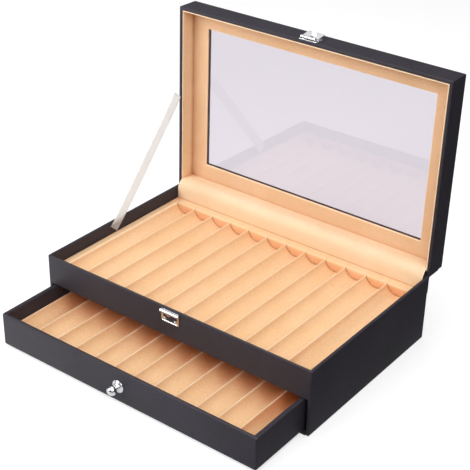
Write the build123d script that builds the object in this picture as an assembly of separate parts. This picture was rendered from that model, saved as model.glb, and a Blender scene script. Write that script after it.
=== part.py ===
from build123d import *
import math
import os

# Pen collector chest: a leathercloth-covered box with a glass-topped lid, a
# twelve-groove tray under the lid and a second twelve-groove tray in a drawer.
# Millimetres. +X to the right seen from the front, +Y to the back, +Z up.
# Origin: centre of the chest's underside.

# ---------------------------------------------------------------- dimensions
W = 340.0            # chest width
D = 217.0            # chest depth
HC = 75.5            # chest height without the lid
LID_H = 27.5         # lid height (closed height is HC + LID_H)
T = 4.0              # wall thickness, board with its covering
T_FASCIA = 3.0       # front fascia thickness
BASE_T = 2.2         # base board
SHELF_Z0 = 41.4      # underside of the shelf between drawer bay and tray
SHELF_T = 3.0
FASCIA_Z0 = 41.2     # lower edge of the fascia
LID_OPEN = 90.85     # lid opening angle at the ribbon's stop, degrees
LID_GAP = 0.3        # between the two rims when closed

PITCH = 26.15        # groove pitch, both trays
N_GROOVE = 12
GROOVE_DEPTH = 11.0
RIDGE_TOP = 0.8      # flat on top of each ridge
TRAY_Z = 61.6        # top of the ridges in the chest
TRAY_Y0, TRAY_Y1 = 14.0, 199.0     # groove ends, from the front face
LINING_T = 1.8       # padded lining on the back wall

DR_X0, DR_X1 = -165.4, 162.1       # drawer sides at rest
DR_H0, DR_H1 = 2.7, 40.2           # drawer bottom and top edge
DR_DEPTH = 211.0
DR_OUT = 73.6        # how far the drawer stands out at rest
DR_T = 4.0           # drawer front
DR_TS = 5.5          # drawer sides
DR_TB = 4.0          # drawer back
DR_BOT = 2.0         # drawer bottom board
DR_RIDGE_Z = 24.0    # top of the ridges in the drawer

WIN_X = 144.5        # half width of the window opening
WIN_MARGIN = 25.5    # from the lid's outer edge to the opening, front and back
WIN_BOARD_T = 3.4    # outer window board
GLASS_T = 2.0
FRAME_T = 4.2        # inner liner frame, with the glass rebate in it
GLASS_LAP = 8.0      # glass beyond the opening, each side
LINER_T = 1.2        # side liners of the lid

DR_XC = (DR_X0 + DR_X1) / 2
KNOB_X = DR_XC - 3.2  # the knob sits a little left of the drawer's middle
KNOB_Z = 21.45
BALL_R = 5.2
BALL_OUT = 9.0       # ball centre from the drawer face

KNUCKLE_Y = -3.2     # hasp hinge axis, from the lid's front face
KNUCKLE_Z = 78.1
KNUCKLE_R = 1.5
HASP_PIN_R = 0.6
HASP_REST = 172.0    # hasp folded back over its plate at rest, degrees from hanging

RIBBON_W = 13.0
RIBBON_T = 0.6

YF = -D / 2          # front face
YB = D / 2           # back face
os.makedirs("parts", exist_ok=True)
NODES = {}


def box(x0, x1, y0, y1, z0, z1):
    """Axis-aligned block between two corners."""
    return Pos((x0 + x1) / 2, (y0 + y1) / 2, (z0 + z1) / 2) * Box(x1 - x0, y1 - y0, z1 - z0)


def cyl_x(x0, x1, y, z, r):
    return Pos((x0 + x1) / 2, y, z) * Rot(0, 90, 0) * Cylinder(r, x1 - x0)


def cyl_y(x, z, y0, y1, r):
    return Pos(x, (y0 + y1) / 2, z) * Rot(90, 0, 0) * Cylinder(r, y1 - y0)


def add(name, *solids):
    NODES[name] = list(solids)


def soft_edges(solid, r, pick):
    """Round the chosen edges of a covered board."""
    edges = pick(solid.edges())
    return fillet(edges, r) if edges else solid


LID_AXIS = Axis((0, YB, HC), (1, 0, 0))


def to_open(shape):
    """Turn a lid piece from the closed to the rest position."""
    return shape.rotate(LID_AXIS, -LID_OPEN)


# ------------------------------------------------------------ chest (root)
XI = W / 2 - T       # inner half width
BACK_Y = YB - T      # inner face of the back wall

add("left_wall", box(-W / 2, -XI, YF, YB, 0, HC))
add("right_wall", box(XI, W / 2, YF, YB, 0, HC))
add("back_wall", box(-XI, XI, BACK_Y, YB, 0, HC))
add("base_board", box(-XI, XI, YF, BACK_Y, 0, BASE_T))
add("shelf_board", box(-XI, XI, YF + T_FASCIA, BACK_Y, SHELF_Z0, SHELF_Z0 + SHELF_T))

# keeper and its two pins sit on the fascia
KP_X = 11.8
KP_Z0, KP_Z1 = 58.8, 73.2
KP_T = 0.8
KP_LIP = 3.7
PIN_R = 0.55
PIN_HEAD_R = 1.3
KP_PINS = [(-6.6, 62.4), (6.6, 62.4)]

fascia = box(-XI, XI, YF, YF + T_FASCIA, FASCIA_Z0, HC)
for px, pz in KP_PINS:
    fascia -= cyl_y(px, pz, YF - 1, YF + 2.7, PIN_R + 0.02)
add("front_fascia", fascia)

keeper = box(-KP_X, KP_X, YF - KP_T, YF, KP_Z0, KP_Z1)
keeper += box(-KP_X, KP_X, YF - KP_LIP, YF - KP_T, KP_Z1 - 0.8, KP_Z1)
tab = Plane(origin=(0, YF - KP_LIP, 0), x_dir=(1, 0, 0), z_dir=(0, -1, 0)) * Polyline(
    (-KP_X, KP_Z1), (KP_X, KP_Z1), (KP_X, 71.4), (3.4, 70.6), (0, 67.9), (-3.4, 70.6), (-KP_X, 71.4), close=True)
keeper += extrude(make_face(tab), amount=0.8, dir=(0, 1, 0))
for x0, x1, z0, z1 in ((-KP_X, -KP_X + 1.2, KP_Z0, KP_Z1 - 0.8), (KP_X - 1.2, KP_X, KP_Z0, KP_Z1 - 0.8),
                       (-KP_X, KP_X, KP_Z0, KP_Z0 + 1.2)):
    keeper += box(x0, x1, YF - KP_T - 0.7, YF - KP_T, z0, z1)
for px, pz in KP_PINS:
    keeper -= cyl_y(px, pz, YF - 2, YF + 1, PIN_R + 0.05)
add("keeper_plate", keeper)


def pin(px, pz, face_y, plate_t, depth):
    """Small domed pin driven through a plate into the board."""
    y0 = face_y - plate_t
    prof = Polyline((0, 0), (PIN_HEAD_R, 0), (PIN_HEAD_R * 0.94, 0.28), (PIN_HEAD_R * 0.6, 0.58), (0, 0.7), close=True)
    head = revolve(make_face(prof), Axis.Y)
    head = Pos(px, y0, pz) * Rot(180, 0, 0) * head
    return head + cyl_y(px, pz, y0 - 0.01, y0 + depth, PIN_R)


add("keeper_pins", *[pin(px, pz, YF, KP_T, 3.3) for px, pz in KP_PINS])


# ------------------------------------------------------ grooved inserts
def groove_numbers():
    half = (PITCH - RIDGE_TOP) / 2
    e = (half ** 2 - GROOVE_DEPTH ** 2) / (2 * GROOVE_DEPTH)   # centre above ridge level
    return e, GROOVE_DEPTH + e


G_E, G_R = groove_numbers()


def grooved(x_mid, z_top, z_bot, y0, y1):
    """Ridge rails between the grooves, and the two side rails, as separate strips."""
    span = N_GROOVE * PITCH
    rails = []
    for k in range(1, N_GROOVE):
        xc = x_mid - span / 2 + k * PITCH
        rail = box(xc - PITCH / 2, xc + PITCH / 2, y0, y1, z_bot, z_top)
        for s in (-1, 1):
            rail -= cyl_y(xc + s * PITCH / 2, z_top + G_E, y0 - 1, y1 + 1, G_R)
        rails.append(rail)
    return rails


def side_rail(x_groove, x_wall, z_top, z_bot, y0, y1):
    """Flat-topped strip from the middle of an outer groove to the wall."""
    a, b = sorted((x_groove, x_wall))
    rail = box(a, b, y0, y1, z_bot, z_top)
    return rail - cyl_y(x_groove, z_top + G_E, y0 - 1, y1 + 1, G_R)


SPAN = N_GROOVE * PITCH
SHELF_TOP = SHELF_Z0 + SHELF_T
TY0, TY1 = YF + TRAY_Y0, YF + TRAY_Y1
add("tray_ridge_rails", *grooved(0, TRAY_Z, SHELF_TOP, TY0, TY1))
add("tray_left_rail", side_rail(-SPAN / 2 + PITCH / 2, -XI, TRAY_Z, SHELF_TOP, TY0, TY1))
add("tray_right_rail", side_rail(SPAN / 2 - PITCH / 2, XI, TRAY_Z, SHELF_TOP, TY0, TY1))
add("tray_front_end", box(-XI, XI, YF + T_FASCIA, TY0, SHELF_TOP, TRAY_Z))
add("tray_back_end", box(-XI, XI, TY1, BACK_Y, SHELF_TOP, TRAY_Z))

# padded lining strips on both sides of the hinge line
add("hinge_lining_chest", box(-XI, XI, BACK_Y - LINING_T, BACK_Y, TRAY_Z, HC - 0.3))

# ------------------------------------------------------------------- drawer
DY0 = YF - DR_OUT                 # drawer front face at rest
DY1 = DY0 + DR_DEPTH
DXI0, DXI1 = DR_X0 + DR_TS, DR_X1 - DR_TS
SCREW_R = 1.5
front = box(DR_X0, DR_X1, DY0, DY0 + DR_T, DR_H0, DR_H1)
front -= cyl_y(KNOB_X, KNOB_Z, DY0 - 1, DY0 + DR_T + 1, SCREW_R + 0.15)
add("drawer_front", front)
add("drawer_left_side", box(DR_X0, DXI0, DY0 + DR_T, DY1 - DR_TB, DR_H0, DR_H1))
add("drawer_right_side", box(DXI1, DR_X1, DY0 + DR_T, DY1 - DR_TB, DR_H0, DR_H1))
add("drawer_back", box(DR_X0, DR_X1, DY1 - DR_TB, DY1, DR_H0, DR_H1))
add("drawer_bottom", box(DXI0, DXI1, DY0 + DR_T, DY1 - DR_TB, DR_H0, DR_H0 + DR_BOT))

DG_Z0 = DR_H0 + DR_BOT
DGY0, DGY1 = DY0 + DR_T + 8.0, DY1 - DR_TB - 8.0
add("drawer_ridge_rails", *grooved(DR_XC, DR_RIDGE_Z, DG_Z0, DGY0, DGY1))
add("drawer_left_rail", side_rail(DR_XC - SPAN / 2 + PITCH / 2, DXI0, DR_RIDGE_Z, DG_Z0, DGY0, DGY1))
add("drawer_right_rail", side_rail(DR_XC + SPAN / 2 - PITCH / 2, DXI1, DR_RIDGE_Z, DG_Z0, DGY0, DGY1))
fr_end = box(DXI0, DXI1, DY0 + DR_T, DGY0, DG_Z0, DR_RIDGE_Z)
fr_end -= cyl_y(KNOB_X, KNOB_Z, DY0 + DR_T - 1, DY0 + DR_T + 2.6, 4.0)
fr_end -= box(KNOB_X - 4.0, KNOB_X + 4.0, DY0 + DR_T - 1, DY0 + DR_T + 2.6, KNOB_Z, DR_RIDGE_Z + 1)
add("drawer_front_end", fr_end)
add("drawer_back_end", box(DXI0, DXI1, DGY1, DY1 - DR_TB, DG_Z0, DR_RIDGE_Z))

# knob: turned rosette, neck with ball, and the screw from inside
ros = Polyline((SCREW_R + 0.15, 0), (7.0, 0), (7.0, 0.9), (6.6, 1.5), (5.6, 1.9), (4.6, 2.5), (4.0, 3.6),
               (SCREW_R + 0.15, 3.6), close=True)
rosette = revolve(make_face(ros), Axis.Y)
add("knob_rosette", Pos(KNOB_X, DY0, KNOB_Z) * Rot(180, 0, 0) * rosette)
neck = cyl_y(KNOB_X, KNOB_Z, DY0 - BALL_OUT, DY0 - 3.6, 2.7)
ball = neck + Pos(KNOB_X, DY0 - BALL_OUT, KNOB_Z) * Sphere(BALL_R)
ball -= cyl_y(KNOB_X, KNOB_Z, DY0 - BALL_OUT + 1.4, DY0 - 3.0, SCREW_R + 0.02)
add("knob_ball", ball)
screw = cyl_y(KNOB_X, KNOB_Z, DY0 - BALL_OUT + 1.6, DY0 + DR_T + 0.5, SCREW_R)
screw += cyl_y(KNOB_X, KNOB_Z, DY0 + DR_T, DY0 + DR_T + 2.0, 3.3)
screw -= box(KNOB_X - 2.4, KNOB_X + 2.4, DY0 + DR_T + 1.1, DY0 + DR_T + 3, KNOB_Z - 0.4, KNOB_Z + 0.4)
add("knob_screw", screw)

# ---------------------------------------------------------------------- lid
LZ0 = HC + LID_GAP
LZ1 = HC + LID_H
WB0 = LZ1 - WIN_BOARD_T           # underside of the window board
FR0 = WB0 - FRAME_T               # inner face of the liner frame
WIN_Y0, WIN_Y1 = YF + WIN_MARGIN, YB - WIN_MARGIN

LATCH_PINS = [(-8.4, 88.6), (8.4, 88.6)]
lid_front = box(-XI, XI, YF, YF + T, LZ0, WB0)
for px, pz in LATCH_PINS:
    lid_front -= cyl_y(px, pz, YF - 1, YF + 3.2, PIN_R + 0.02)
add("lid_front_wall", to_open(lid_front))
add("lid_left_wall", to_open(box(-W / 2, -XI, YF, YB, LZ0, WB0)))
add("lid_right_wall", to_open(box(XI, W / 2, YF, YB, LZ0, WB0)))
add("lid_back_wall", to_open(box(-XI, XI, BACK_Y, YB, LZ0, WB0)))

board = box(-W / 2, W / 2, YF, YB, WB0, LZ1)
board -= box(-WIN_X, WIN_X, WIN_Y0, WIN_Y1, WB0 - 1, LZ1 + 1)
add("lid_window_board", to_open(board))

GX, GY0, GY1 = WIN_X + GLASS_LAP, WIN_Y0 - GLASS_LAP, WIN_Y1 + GLASS_LAP
frame = box(-XI, XI, YF + T, BACK_Y, FR0, WB0)
frame -= box(-WIN_X, WIN_X, WIN_Y0, WIN_Y1, FR0 - 1, WB0 + 1)
frame -= box(-GX - 0.5, GX + 0.5, GY0 - 0.5, GY1 + 0.5, WB0 - GLASS_T, WB0 + 1)
add("lid_liner_frame", to_open(frame))
add("glass_pane", to_open(box(-GX, GX, GY0, GY1, WB0 - GLASS_T, WB0)))

LX = XI - LINER_T
add("lid_left_liner", to_open(box(-XI, -LX, YF + T, BACK_Y, LZ0, FR0)))
add("lid_right_liner", to_open(box(LX, XI, YF + T, BACK_Y, LZ0, FR0)))
add("lid_front_liner", to_open(box(-LX, LX, YF + T, YF + T + LINER_T, LZ0, FR0)))
add("hinge_lining_lid", to_open(box(-LX, LX, BACK_Y - LINING_T, BACK_Y, LZ0 + 0.6, FR0)))

# latch plate with two ears, its pins and the hasp's hinge pin
LP_X = 11.8
LP_Z0, LP_Z1 = 76.6, 91.6
KY = YF + KNUCKLE_Y
latch = box(-LP_X, LP_X, YF - KP_T, YF, LP_Z0, LP_Z1)
for s in (-1, 1):
    a, b = sorted((s * 5.3, s * 9.2))
    latch += box(a, b, KY, YF - KP_T, KNUCKLE_Z - KNUCKLE_R, KNUCKLE_Z + KNUCKLE_R)
    latch += cyl_x(a, b, KY, KNUCKLE_Z, KNUCKLE_R)
latch -= cyl_x(-12, 12, KY, KNUCKLE_Z, HASP_PIN_R + 0.01)
for px, pz in LATCH_PINS:
    latch -= cyl_y(px, pz, YF - 2, YF + 1, PIN_R + 0.05)
add("latch_plate", to_open(latch))
add("latch_pins", *[to_open(pin(px, pz, YF, KP_T, 3.8)) for px, pz in LATCH_PINS])
add("hasp_pin", to_open(cyl_x(-9.3, 9.3, KY, KNUCKLE_Z, HASP_PIN_R)))

# hasp, built hanging over the keeper, then folded back to its rest position
HP_OUT = YF - 4.9
HP_IN = YF - 4.1
hasp = box(-10.2, 10.2, HP_OUT, HP_IN, 62.2, KNUCKLE_Z - KNUCKLE_R - 0.5)
hasp += box(-4.9, 4.9, HP_OUT, HP_IN, 70, KNUCKLE_Z)
hasp += cyl_x(-4.9, 4.9, KY, KNUCKLE_Z, KNUCKLE_R)
hasp += box(-4.9, 4.9, HP_IN - 0.2, KY, KNUCKLE_Z - 1.0, KNUCKLE_Z)
hasp -= cyl_x(-6, 6, KY, KNUCKLE_Z, HASP_PIN_R + 0.05)
hasp += cyl_x(-10.2, 10.2, HP_OUT - 0.35, 62.2, 1.0)
hasp += box(-3.4, 3.4, HP_IN - 0.1, YF - 1.7, 66.5, 67.3)
hasp -= cyl_y(0, 72.2, HP_OUT - 1, HP_IN + 1, 1.6)
hasp = hasp.rotate(Axis((0, KY, KNUCKLE_Z), (1, 0, 0)), -HASP_REST)
add("hasp", to_open(hasp))

# ------------------------------------------------- soft pieces at the hinge
# ribbon stay on the left: a straight band from the chest wall to the lid rim
RB_LO = (YF + 98.4, 66.4)
RB_HI = (YB - 5.6, HC + 116.6)
dy, dz = RB_HI[0] - RB_LO[0], RB_HI[1] - RB_LO[1]
rl = math.hypot(dy, dz)
ribbon = Box(RIBBON_T, rl, RIBBON_W)
ribbon = Pos(-XI + 0.1 + RIBBON_T / 2, (RB_LO[0] + RB_HI[0]) / 2, (RB_LO[1] + RB_HI[1]) / 2) * \
    Rot(math.degrees(math.atan2(dz, dy)), 0, 0) * ribbon
add("ribbon_stay", ribbon)
print("ribbon length", round(rl, 1))

# leathercloth spine: flat on the chest's back, turned up under the lid's back
SP_T = 0.6
spine = box(-W / 2 + 0.2, W / 2 - 0.2, YB, YB + SP_T, HC - 20, HC - 0.3)
flap = box(-W / 2 + 0.2, W / 2 - 0.2, YB, YB + SP_T, HC + 0.8, HC + 20)
add("spine_hinge", spine, to_open(flap))

# ---------------------------------------------------------------- write out
for name, solids in NODES.items():
    shape = solids[0] if len(solids) == 1 else Compound(children=[s if isinstance(s, Solid) else s for s in solids])
    shape.label = name
    export_step(shape, f"parts/{name}.step")
print(len(NODES), "nodes; hasp axis at rest", [round(v, 5) for v in to_open(Vertex(0, KY, KNUCKLE_Z)).center()])
print("groove centre above ridge", round(G_E, 3), "radius", round(G_R, 3))
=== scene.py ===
import math

import bmesh
import bpy
import numpy as np
from mathutils import Matrix, Vector, noise


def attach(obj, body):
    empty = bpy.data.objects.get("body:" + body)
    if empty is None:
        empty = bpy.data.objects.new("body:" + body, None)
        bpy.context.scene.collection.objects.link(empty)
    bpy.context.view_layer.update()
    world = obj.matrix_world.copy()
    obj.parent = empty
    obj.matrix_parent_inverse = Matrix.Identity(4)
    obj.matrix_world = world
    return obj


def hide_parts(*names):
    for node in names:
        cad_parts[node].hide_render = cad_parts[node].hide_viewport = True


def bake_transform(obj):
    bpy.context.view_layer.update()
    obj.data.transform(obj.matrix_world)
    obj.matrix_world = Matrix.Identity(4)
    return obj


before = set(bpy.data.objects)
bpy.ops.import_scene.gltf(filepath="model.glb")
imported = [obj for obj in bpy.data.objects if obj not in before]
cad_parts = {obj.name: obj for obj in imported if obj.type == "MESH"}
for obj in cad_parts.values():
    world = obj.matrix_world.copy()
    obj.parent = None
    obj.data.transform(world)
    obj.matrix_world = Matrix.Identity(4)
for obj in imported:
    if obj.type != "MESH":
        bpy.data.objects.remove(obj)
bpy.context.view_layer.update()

scene = bpy.context.scene
MM = 0.001

# ---------------------------------------------------------------- sizes, mm
W, D, HC = 340.0, 217.0, 75.5
LID_H, LID_GAP, LID_OPEN = 27.5, 0.3, 90.85
T, TF = 4.0, 3.0
YF, YB = -D / 2, D / 2
XI = W / 2 - T
BACK_Y = YB - T
FASCIA_Z0 = 41.2
PITCH, N_GROOVE, DEPTH = 26.15, 12, 11.0
SPAN = PITCH * N_GROOVE
TRAY_Z = 61.6
TY0, TY1 = YF + 14.0, YF + 199.0
DR_X0, DR_X1, DR_H0, DR_H1 = -165.4, 162.1, 2.7, 40.2
DY0 = YF - 73.6
DY1 = DY0 + 211.0
DR_T, DR_TS, DR_TB = 4.0, 5.5, 4.0
DR_Z = 24.0
DXC = (DR_X0 + DR_X1) / 2
KX, KZ, BALL_OUT = DXC - 3.2, 21.45, 9.0
LZ0, LZ1 = HC + LID_GAP, HC + LID_H
WB0 = LZ1 - 3.4
FR0 = WB0 - 4.2
WIN_X, WIN_M = 144.5, 25.5
GLASS_T = 2.0
KY, KNZ = YF - 3.2, 78.1
HASP_REST = 172.0

# ------------------------------------------------------------------ helpers
TO_OPEN = Matrix.Translation((0, YB * MM, HC * MM)) @ Matrix.Rotation(math.radians(-LID_OPEN), 4, "X") @ \
    Matrix.Translation((0, -YB * MM, -HC * MM))
HASP_BACK = Matrix.Translation((0, KY * MM, KNZ * MM)) @ Matrix.Rotation(math.radians(-HASP_REST), 4, "X") @ \
    Matrix.Translation((0, -KY * MM, -KNZ * MM))


def to_open_pt(p):
    return tuple(c / MM for c in (TO_OPEN @ Vector([v * MM for v in p])))


def new_object(name, verts, faces, mat, matrix=None, smooth=True, fix=True, painted_light=None):
    """Mesh object from millimetre points; painted_light is 1 for a painted highlight on a crest and -1 for painted
    shade in a seam.
    """
    me = bpy.data.meshes.new(name)
    me.from_pydata([(x * MM, y * MM, z * MM) for x, y, z in verts], [], [tuple(f) for f in faces])
    if painted_light is not None:
        me.attributes.new("painted_light", "FLOAT", "POINT").data.foreach_set("value", [float(v) for v in painted_light])
    if matrix is not None:
        me.transform(matrix)
    if fix:
        bm = bmesh.new()
        bm.from_mesh(me)
        bmesh.ops.remove_doubles(bm, verts=bm.verts, dist=1e-7)
        bmesh.ops.recalc_face_normals(bm, faces=bm.faces)
        bm.to_mesh(me)
        bm.free()
    if smooth:
        me.shade_smooth()
    me.update()
    ob = bpy.data.objects.new(name, me)
    scene.collection.objects.link(ob)
    me.materials.append(mat)
    return ob


def bake_modifiers(ob):
    """Replaces the mesh by what its modifiers make of it."""
    dg = bpy.context.evaluated_depsgraph_get()
    dg.update()
    me = bpy.data.meshes.new_from_object(ob.evaluated_get(dg))
    old = ob.data
    ob.modifiers.clear()
    ob.data = me
    me.name = ob.name
    bpy.data.meshes.remove(old)
    return ob


def weighted(ob):
    m = ob.modifiers.new("flat_shading", "WEIGHTED_NORMAL")
    m.keep_sharp = True
    m.weight = 60
    return ob


def box_mesh(x0, x1, y0, y1, z0, z1):
    v = [(x, y, z) for z in (z0, z1) for y in (y0, y1) for x in (x0, x1)]
    f = [(0, 2, 3, 1), (4, 5, 7, 6), (0, 1, 5, 4), (2, 6, 7, 3), (0, 4, 6, 2), (1, 3, 7, 5)]
    return v, f


def cut_shell(name, outer, cutters, width, segments, mat, matrix=None):
    """A covered board case: a block less its hollows, with every edge turned over softly."""
    ob = new_object(name, *box_mesh(*outer), mat, smooth=False)
    tools = []
    for c in cutters:
        t = new_object(name + "_cut", *box_mesh(*c), mat, smooth=False)
        m = ob.modifiers.new("cut", "BOOLEAN")
        m.operation, m.solver, m.object = "DIFFERENCE", "EXACT", t
        tools.append(t)
    bake_modifiers(ob)
    for t in tools:
        me = t.data
        bpy.data.objects.remove(t)
        bpy.data.meshes.remove(me)
    bm = bmesh.new()
    bm.from_mesh(ob.data)
    bmesh.ops.remove_doubles(bm, verts=bm.verts, dist=1e-6)
    bmesh.ops.dissolve_limit(bm, angle_limit=math.radians(1), verts=bm.verts, edges=bm.edges)
    bmesh.ops.recalc_face_normals(bm, faces=bm.faces)
    convex = [e for e in bm.edges if len(e.link_faces) == 2 and e.calc_face_angle_signed(0) > 0.5]
    bmesh.ops.bevel(bm, geom=convex, offset=width * MM, offset_type="OFFSET", segments=segments, profile=0.5,
                    affect="EDGES", clamp_overlap=True)
    # cross lines every few centimetres, so that the long faces aren't single polygons
    lo, hi = [min(v.co[i] for v in bm.verts) for i in range(3)], [max(v.co[i] for v in bm.verts) for i in range(3)]
    for axis in range(3):
        n = int((hi[axis] - lo[axis]) / 0.018)
        for k in range(1, n + 1):
            at = lo[axis] + (hi[axis] - lo[axis]) * k / (n + 1)
            co, no = [0, 0, 0], [0, 0, 0]
            co[axis], no[axis] = at, 1
            bmesh.ops.bisect_plane(bm, geom=bm.verts[:] + bm.edges[:] + bm.faces[:], plane_co=co, plane_no=no, dist=2e-6)
    if matrix is not None:
        bmesh.ops.transform(bm, matrix=matrix, verts=bm.verts)
    bm.to_mesh(ob.data)
    bm.free()
    ob.data.materials.clear()
    ob.data.materials.append(mat)
    ob.data.shade_smooth()
    return weighted(ob)


def grid_faces(nu, nv, wrap_v=False, offset=0):
    f = []
    for i in range(nu - 1):
        for j in range(nv if wrap_v else nv - 1):
            a, b = i * nv + j, i * nv + (j + 1) % nv
            f.append((a + offset, b + offset, b + nv + offset, a + nv + offset))
    return f


def rect_loop(x0, x1, y0, y1, z, rc, nx=26, ny=18, k=5):
    """Points round a rectangle with rounded corners, always the same number."""
    pts = []
    corners = [(x1 - rc, y0 + rc, -90), (x1 - rc, y1 - rc, 0), (x0 + rc, y1 - rc, 90), (x0 + rc, y0 + rc, 180)]
    for c, (cx, cy, a0) in enumerate(corners):
        for i in range(k + 1):
            a = math.radians(a0 + 90 * i / k)
            pts.append((cx + rc * math.cos(a), cy + rc * math.sin(a), z))
        nxt = corners[(c + 1) % 4]
        a = math.radians(nxt[2])
        q = (nxt[0] + rc * math.cos(a), nxt[1] + rc * math.sin(a), z)
        p = pts[-1]
        n = ny if c % 2 == 0 else nx
        for i in range(1, n):
            pts.append(tuple(p[j] + (q[j] - p[j]) * i / n for j in range(3)))
    return pts


def ring_sweep(name, loops, mat, matrix=None, closed=True, painted_light=None):
    verts = [p for l in loops for p in l]
    n = len(loops[0])
    faces = grid_faces(len(loops), n, wrap_v=True)
    if closed:
        last = (len(loops) - 1) * n
        faces += [(last + j, last + (j + 1) % n, (j + 1) % n, j) for j in range(n)]
    return new_object(name, verts, faces, mat, matrix, painted_light=None if painted_light is None else [w for w in painted_light for _ in range(n)])


def soft_block(name, x0, x1, y0, y1, z0, z1, r, step, mat, matrix=None, puff=0.0, seed=0.0, edge_painted_light=None):
    """A covered strip: a block with a fine grid, its edges and corners rounded by r."""
    r = min(r, (x1 - x0) / 2.01, (y1 - y0) / 2.01, (z1 - z0) / 2.01)

    def stations(a, b):
        edge = [r * (1 - math.cos(math.radians(t))) for t in (0, 22, 45, 68, 90)]
        inner = max(1, int(round((b - a - 2 * r) / step)))
        mid = [a + r + (b - a - 2 * r) * i / inner for i in range(inner + 1)]
        return [a + e for e in edge[:-1]] + mid + [b - e for e in reversed(edge[:-1])]
    axes = [stations(x0, x1), stations(y0, y1), stations(z0, z1)]
    lo, hi = (x0 + r, y0 + r, z0 + r), (x1 - r, y1 - r, z1 - r)
    verts, faces, index, wear_and_painted_light = [], [], {}, []

    def vid(p):
        key = tuple(round(c, 6) for c in p)
        if key not in index:
            c = [min(max(p[i], lo[i]), hi[i]) for i in range(3)]
            d = Vector([p[i] - c[i] for i in range(3)])
            if d.length > 1e-9:
                # cube-to-sphere style: keep the direction, give it the radius
                d = d.normalized() * r
            q = [c[i] + d[i] for i in range(3)]
            index[key] = len(verts)
            verts.append(tuple(q))
            wear_and_painted_light.append(0.0 if edge_painted_light is None or d.length < 1e-9 else edge_painted_light(p, d / r))
        return index[key]
    for ax in range(3):
        u, v = [i for i in range(3) if i != ax]
        for end in (0, -1):
            for i in range(len(axes[u]) - 1):
                for j in range(len(axes[v]) - 1):
                    quad = []
                    for di, dj in ((0, 0), (1, 0), (1, 1), (0, 1)):
                        p = [0, 0, 0]
                        p[ax], p[u], p[v] = axes[ax][end], axes[u][i + di], axes[v][j + dj]
                        quad.append(vid(p))
                    if len(set(quad)) >= 3:
                        faces.append(quad)
    if puff:
        out = []
        for x, y, z in verts:
            n = noise.noise(Vector((x * 0.05 + seed, y * 0.05, z * 0.05)))
            out.append((x + puff * n * 0.5, y + puff * n * 0.3, z + puff * n * 0.5))
        verts = out
    return new_object(name, verts, faces, mat, matrix, painted_light=wear_and_painted_light)


def lathe(name, profile, origin, direction, mat, steps=56, matrix=None):
    """Turned piece: profile of (radius, distance along the axis)."""
    d = Vector(direction).normalized()
    a = d.orthogonal().normalized()
    b = d.cross(a)
    verts = []
    for r, h in profile:
        for i in range(steps):
            t = 2 * math.pi * i / steps
            p = Vector(origin) + d * h + (a * math.cos(t) + b * math.sin(t)) * r
            verts.append(tuple(p))
    faces = grid_faces(len(profile), steps, wrap_v=True)
    first, last = list(range(steps)), [(len(profile) - 1) * steps + i for i in range(steps)]
    if profile[0][0] > 1e-6:
        faces.append(first[::-1])
    if profile[-1][0] > 1e-6:
        faces.append(last)
    return new_object(name, verts, faces, mat, matrix)


def outline_plate(name, outline, holes, thick, bevel, place, mat, matrix=None):
    """Stamped sheet: a flat outline with holes, rounded at its edges. place maps (x, y, thickness) to space."""
    cu = bpy.data.curves.new(name, "CURVE")
    cu.dimensions, cu.fill_mode = "2D", "BOTH"
    for loop in [outline] + holes:
        sp = cu.splines.new("POLY")
        sp.points.add(len(loop) - 1)
        for p, (x, y) in zip(sp.points, loop):
            p.co = (x * MM, y * MM, 0, 1)
        sp.use_cyclic_u = True
    cu.extrude = (thick / 2 - bevel) * MM
    cu.bevel_depth, cu.bevel_resolution = bevel * MM, 2
    cu.offset = -bevel * MM
    ob = bpy.data.objects.new(name, cu)
    scene.collection.objects.link(ob)
    dg = bpy.context.evaluated_depsgraph_get()
    me = bpy.data.meshes.new_from_object(ob.evaluated_get(dg))
    bpy.data.objects.remove(ob)
    bpy.data.curves.remove(cu)
    me.transform(place)
    if matrix is not None:
        me.transform(matrix)
    bm = bmesh.new()
    bm.from_mesh(me)
    bmesh.ops.remove_doubles(bm, verts=bm.verts, dist=2e-6)
    bmesh.ops.recalc_face_normals(bm, faces=bm.faces)
    bm.to_mesh(me)
    bm.free()
    me.shade_smooth()
    me.materials.clear()
    me.materials.append(mat)
    out = bpy.data.objects.new(name, me)
    scene.collection.objects.link(out)
    return out


def strip_sheet(name, path, xs, thick, mat, matrix=None, bevel=0.12, width=None):
    """Bent sheet: a path of (y, z) carried along X, given a thickness and soft edges."""
    verts, nu = [], len(path)
    for i, (y, z) in enumerate(path):
        for x in xs:
            f = 1.0 if width is None else width(i / (nu - 1))
            verts.append((x * f, y, z))
    ob = new_object(name, verts, grid_faces(nu, len(xs)), mat, fix=False)
    m = ob.modifiers.new("thickness", "SOLIDIFY")
    m.thickness, m.offset = thick * MM, 0
    if bevel:
        b = ob.modifiers.new("edges", "BEVEL")
        b.width, b.segments, b.limit_method, b.angle_limit = bevel * MM, 2, "ANGLE", math.radians(50)
    bake_modifiers(ob)
    if matrix is not None:
        ob.data.transform(matrix)
    ob.data.shade_smooth()
    return ob


def join(name, obs, mat):
    """Joins meshes that are one physical piece."""
    bm = bmesh.new()
    for o in obs:
        dg = bpy.context.evaluated_depsgraph_get()
        dg.update()
        me = bpy.data.meshes.new_from_object(o.evaluated_get(dg))
        me.transform(o.matrix_world)
        bm.from_mesh(me)
        bpy.data.meshes.remove(me)
    for o in obs:
        me = o.data
        bpy.data.objects.remove(o)
        bpy.data.meshes.remove(me)
    me = bpy.data.meshes.new(name)
    bm.to_mesh(me)
    bm.free()
    me.shade_smooth()
    me.materials.clear()
    me.materials.append(mat)
    out = bpy.data.objects.new(name, me)
    scene.collection.objects.link(out)
    return weighted(out)


def arc(cx, cy, r, a0, a1, n):
    return [(cx + r * math.cos(math.radians(a0 + (a1 - a0) * i / n)), cy + r * math.sin(math.radians(a0 + (a1 - a0) * i / n)))
            for i in range(n + 1)]


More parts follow.
